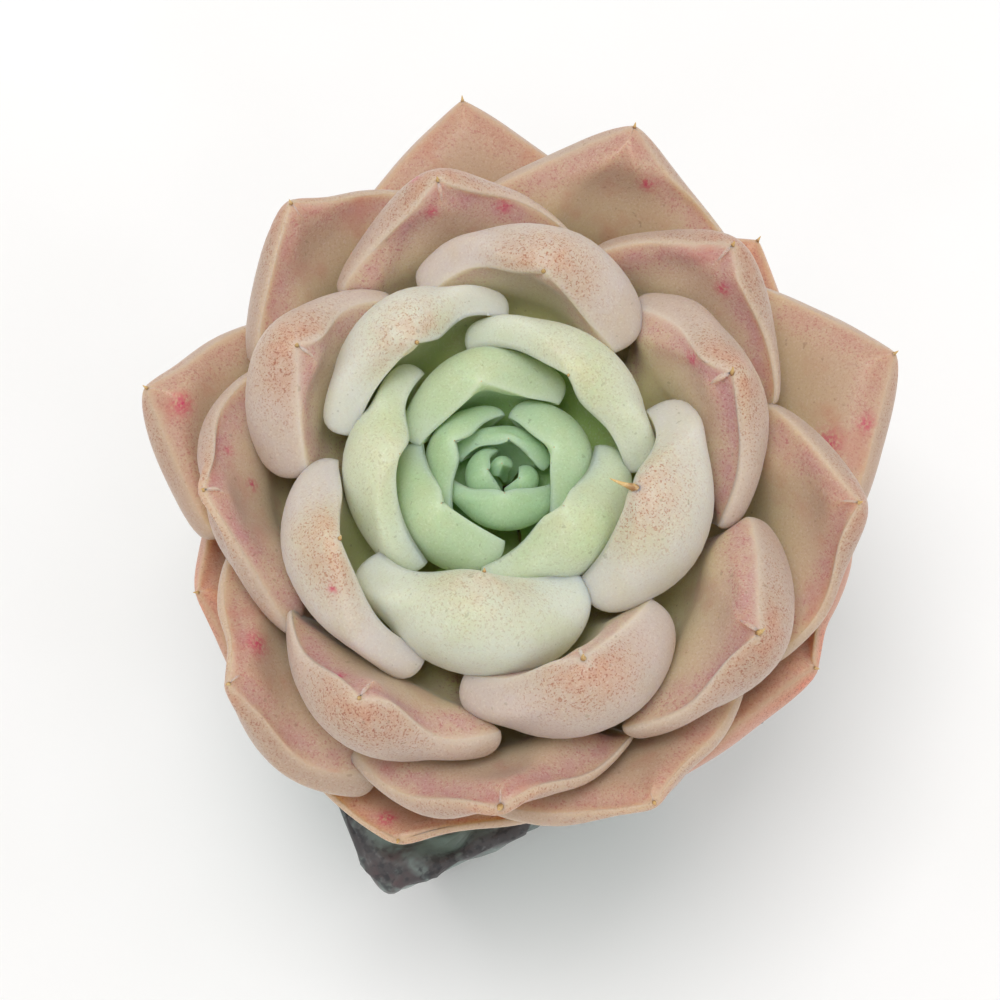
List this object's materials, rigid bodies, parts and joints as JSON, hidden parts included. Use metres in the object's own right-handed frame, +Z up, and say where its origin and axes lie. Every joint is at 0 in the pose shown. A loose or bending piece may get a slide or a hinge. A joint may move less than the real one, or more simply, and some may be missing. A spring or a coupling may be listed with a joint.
{
  "type": "potted succulent",
  "caption": "Rosette succulent with fleshy, cupped, pink-edged leaves on a short stem in a small square glazed stoneware pot filled with potting grit.",
  "frame": {"origin": "centre of the pot's flat underside, on the surface that the pot stands on", "axes": "+Z up; X and Y along the pot's square sides; the plant leans off centre towards +X and +Y"},
  "size_m": [0.0962, 0.0988, 0.0952],
  "materials": {
    "pot_glaze": "mottled teal-grey stoneware glaze, semi-gloss, broken to dark slate and purple-brown along the rough rim",
    "potting_grit": "matte grains of pumice, lava and bark",
    "corky_stem": "matte, corky, with leaf scars",
    "bud_leaf": "blue-green, waxy bloom, satin",
    "inner_leaf": "pale mint green with a whitish waxy bloom and fine speckles, satin",
    "middle_leaf": "cream margins, mauve-pink inner face, orange-freckled back, waxy satin",
    "outer_leaf": "peach-tan to salmon over an olive base, waxy satin"
  },
  "bodies": {
    "root": {"pot": "pot_glaze", "grit": "potting_grit", "stem": "corky_stem", "leaf_01": "bud_leaf", "leaf_02": "bud_leaf", "leaf_03": "bud_leaf", "leaf_04": "bud_leaf", "leaf_05": "bud_leaf", "leaf_06": "inner_leaf", "leaf_07": "inner_leaf", "leaf_08": "inner_leaf", "leaf_09": "inner_leaf", "leaf_10": "inner_leaf", "leaf_11": "inner_leaf", "leaf_12": "inner_leaf", "leaf_13": "middle_leaf", "leaf_14": "middle_leaf", "leaf_15": "middle_leaf", "leaf_16": "middle_leaf", "leaf_17": "middle_leaf", "leaf_18": "middle_leaf", "leaf_19": "middle_leaf", "leaf_20": "middle_leaf", "leaf_21": "middle_leaf", "leaf_22": "middle_leaf", "leaf_23": "middle_leaf", "leaf_24": "middle_leaf", "leaf_25": "middle_leaf", "leaf_26": "middle_leaf", "leaf_27": "middle_leaf", "leaf_28": "middle_leaf", "leaf_29": "outer_leaf", "leaf_30": "outer_leaf", "leaf_31": "outer_leaf", "leaf_32": "outer_leaf", "leaf_33": "outer_leaf", "leaf_34": "outer_leaf", "leaf_35": "outer_leaf", "leaf_36": "outer_leaf", "leaf_37": "outer_leaf", "leaf_38": "outer_leaf"}
  },
  "joints": []
}
